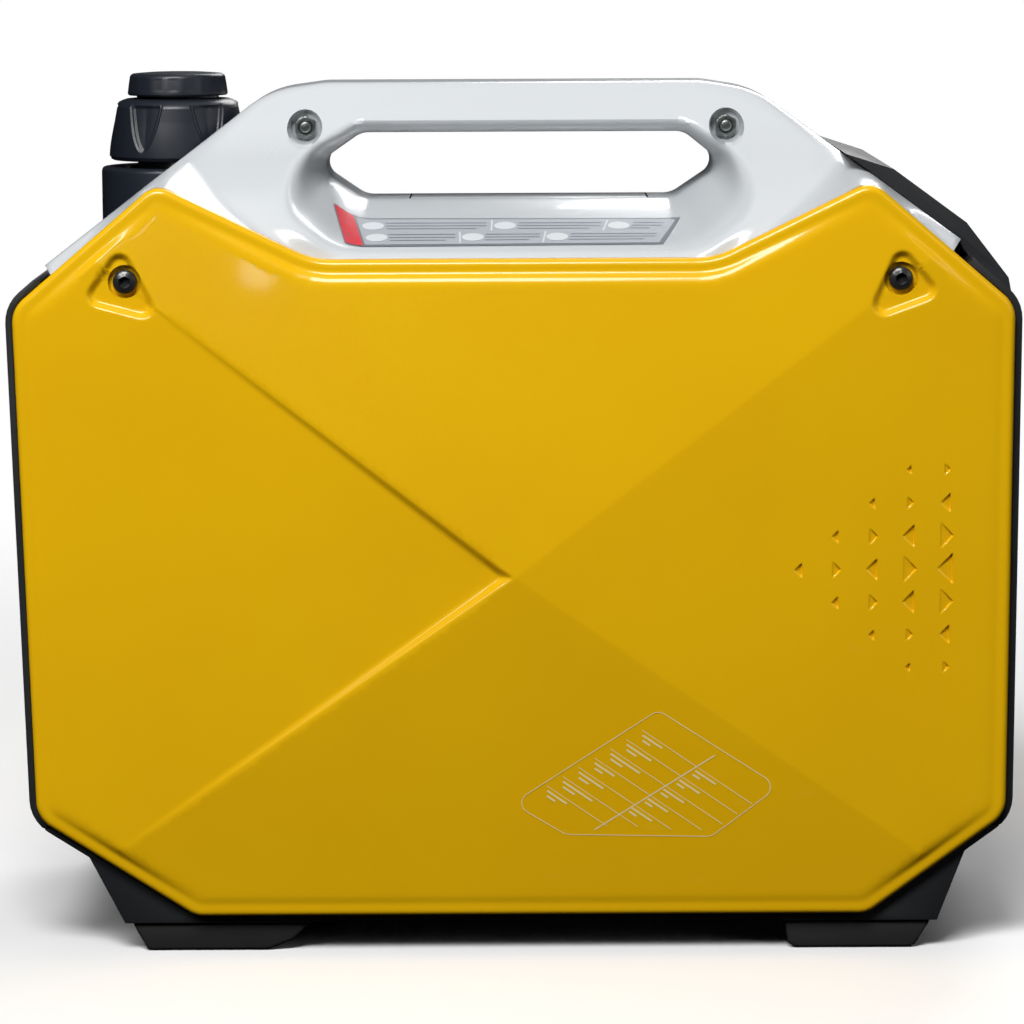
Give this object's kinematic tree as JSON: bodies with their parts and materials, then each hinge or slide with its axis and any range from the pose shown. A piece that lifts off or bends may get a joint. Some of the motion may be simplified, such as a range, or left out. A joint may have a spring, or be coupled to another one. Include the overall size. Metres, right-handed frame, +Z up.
{
  "type": "portable inverter generator",
  "caption": "Suitcase inverter generator: moulded side panels with a shallow pyramid, white shells forming a carry handle, fuel cap, control panel, recoil starter, engine and inverter inside.",
  "frame": {"origin": "centre of the bounding box at the level of the feet's undersides", "axes": "+X from the control panel end to the exhaust end, +Y from the plain side to the recoil starter side, +Z up"},
  "size_m": [0.5084, 0.29, 0.4423],
  "materials": {
    "yellow_shell": "glossy yellow moulding",
    "white_shell": "glossy white moulding",
    "black_cover": "matte black moulding",
    "black_cap": "satin blue-black moulding",
    "rubber": "black rubber",
    "steel": "plated steel",
    "dark_steel": "black zinc plated steel",
    "aluminium": "die-cast aluminium",
    "copper": "enamelled copper windings",
    "grey_plastic": "dark grey moulding",
    "red_plastic": "red button",
    "rope": "braided nylon",
    "ceramic": "glazed insulator"
  },
  "bodies": {
    "housing": {"near_side_panel": "yellow_shell", "far_side_panel": "yellow_shell", "near_panel_bolt_front": "black_cover", "near_panel_bolt_rear": "black_cover", "far_panel_bolt_front": "black_cover", "far_panel_bolt_rear": "black_cover", "upper_shell_near": "white_shell", "upper_shell_far": "white_shell", "handle_bolt_front": "dark_steel", "handle_bolt_rear": "dark_steel", "handle_nut_front": "dark_steel", "handle_nut_rear": "dark_steel", "front_cover": "black_cover", "rear_cover": "black_cover", "bottom_tray": "black_cover", "foot_near_front": "rubber", "foot_near_rear": "rubber", "foot_far_front": "rubber", "foot_far_rear": "rubber", "fuel_tank": "black_cover", "fuel_neck_collar": "black_cap", "control_panel": "grey_plastic", "ac_socket_left": "black_cover", "ac_socket_right": "black_cover", "dc_socket": "black_cover", "ground_stud": "steel", "ground_nut": "steel", "engine_block": "aluminium", "cylinder_head": "aluminium", "rocker_cover": "aluminium", "spark_plug": "ceramic", "plug_cap": "rubber", "engine_mount_front": "rubber", "engine_mount_rear": "rubber", "carburettor": "aluminium", "air_filter_box": "black_cover", "muffler": "steel", "exhaust_pipe": "steel", "stator": "copper", "starter_housing": "black_cover", "starter_rope": "rope", "inverter_unit": "aluminium"},
    "cap_carrier": {"fuel_cap_gasket": "rubber"},
    "fuel_cap": {"fuel_cap": "black_cap"},
    "vent_knob": {"vent_knob": "black_cap"},
    "plug_cover": {"spark_plug_cover": "white_shell"},
    "service_door": {"service_door": "yellow_shell"},
    "door_latch": {"service_door_latch": "black_cover"},
    "engine_switch": {"engine_switch_knob": "black_cover"},
    "eco_rocker": {"eco_rocker": "black_cover"},
    "lid_left": {"socket_lid_left": "grey_plastic"},
    "lid_right": {"socket_lid_right": "grey_plastic"},
    "dc_button": {"dc_reset_button": "red_plastic"},
    "ac_button": {"ac_reset_button": "red_plastic"},
    "oil_cap": {"oil_filler_cap": "grey_plastic"},
    "crank_set": {"crankshaft": "steel", "flywheel_rotor": "dark_steel", "cooling_fan": "black_cover"},
    "reel": {"starter_reel": "grey_plastic"},
    "grip": {"starter_grip": "black_cover"}
  },
  "joints": [
    {"name": "fuel_cap_rise", "type": "slide", "parent": "housing", "child": "cap_carrier", "axis": [0, 0, 1], "range_m": [0, 0.006]},
    {"name": "fuel_cap_turn", "type": "hinge", "parent": "cap_carrier", "child": "fuel_cap", "pos_m": [-0.176, 0, 0.41], "axis": [0, 0, 1], "range_deg": [0, 540]},
    {"name": "vent_knob_turn", "type": "hinge", "parent": "fuel_cap", "child": "vent_knob", "pos_m": [-0.176, 0, 0.435], "axis": [0, 0, 1], "range_deg": [0, 90]},
    {"name": "plug_cover_lift", "type": "slide", "parent": "housing", "child": "plug_cover", "axis": [0, 0, 1], "range_m": [0, 0.018]},
    {"name": "service_door_swing", "type": "hinge", "parent": "housing", "child": "service_door", "pos_m": [-0.121, 0.1335, 0.216], "axis": [0, 0, 1], "range_deg": [0, 90]},
    {"name": "door_latch_turn", "type": "hinge", "parent": "service_door", "child": "door_latch", "pos_m": [-0.038, 0.13, 0.216], "axis": [0, 1, 0], "range_deg": [0, 90]},
    {"name": "engine_switch_turn", "type": "hinge", "parent": "housing", "child": "engine_switch", "pos_m": [-0.2405, -0.055, 0.276], "axis": [-1, 0, 0], "range_deg": [0, 120]},
    {"name": "eco_rocker_tilt", "type": "hinge", "parent": "housing", "child": "eco_rocker", "pos_m": [-0.2385, 0.058, 0.276], "axis": [0, -1, 0], "range_deg": [0, 16]},
    {"name": "lid_left_lift", "type": "hinge", "parent": "housing", "child": "lid_left", "pos_m": [-0.2487, -0.045, 0.232], "axis": [0, 1, 0], "range_deg": [0, 110], "stiffness_Nm_per_rad": 0.01, "springref_deg": -17.19},
    {"name": "lid_right_lift", "type": "hinge", "parent": "housing", "child": "lid_right", "pos_m": [-0.2487, 0.045, 0.232], "axis": [0, 1, 0], "range_deg": [0, 110], "stiffness_Nm_per_rad": 0.01, "springref_deg": -17.19},
    {"name": "dc_button_press", "type": "slide", "parent": "housing", "child": "dc_button", "axis": [1, 0, 0], "range_m": [0, 0.003], "stiffness_N_per_m": 250, "springref_m": -0.002},
    {"name": "ac_button_press", "type": "slide", "parent": "housing", "child": "ac_button", "axis": [1, 0, 0], "range_m": [0, 0.003], "stiffness_N_per_m": 250, "springref_m": -0.002},
    {"name": "oil_cap_turn", "type": "hinge", "parent": "housing", "child": "oil_cap", "pos_m": [0.0076, -0.045, 0.112], "axis": [-1, 0, 0], "range_deg": [0, 360]},
    {"name": "crankshaft_spin", "type": "hinge", "parent": "housing", "child": "crank_set", "pos_m": [0.06, 0, 0.135], "axis": [0, 1, 0], "continuous": true},
    {"name": "starter_reel_turn", "type": "hinge", "parent": "housing", "child": "reel", "pos_m": [0.06, 0.1, 0.135], "axis": [0, 1, 0], "range_deg": [0, 875], "stiffness_Nm_per_rad": 0.01, "springref_deg": -171.89},
    {"name": "starter_grip_pull", "type": "slide", "parent": "housing", "child": "grip", "axis": [0, 1, 0], "range_m": [0, 0.55], "deforming": ["starter_rope"]}
  ],
  "couplings": [
    {"joint": "fuel_cap_rise", "follows": "fuel_cap_turn", "m_per_rad": 0.000636},
    {"joint": "starter_grip_pull", "follows": "starter_reel_turn", "m_per_rad": 0.036}
  ]
}
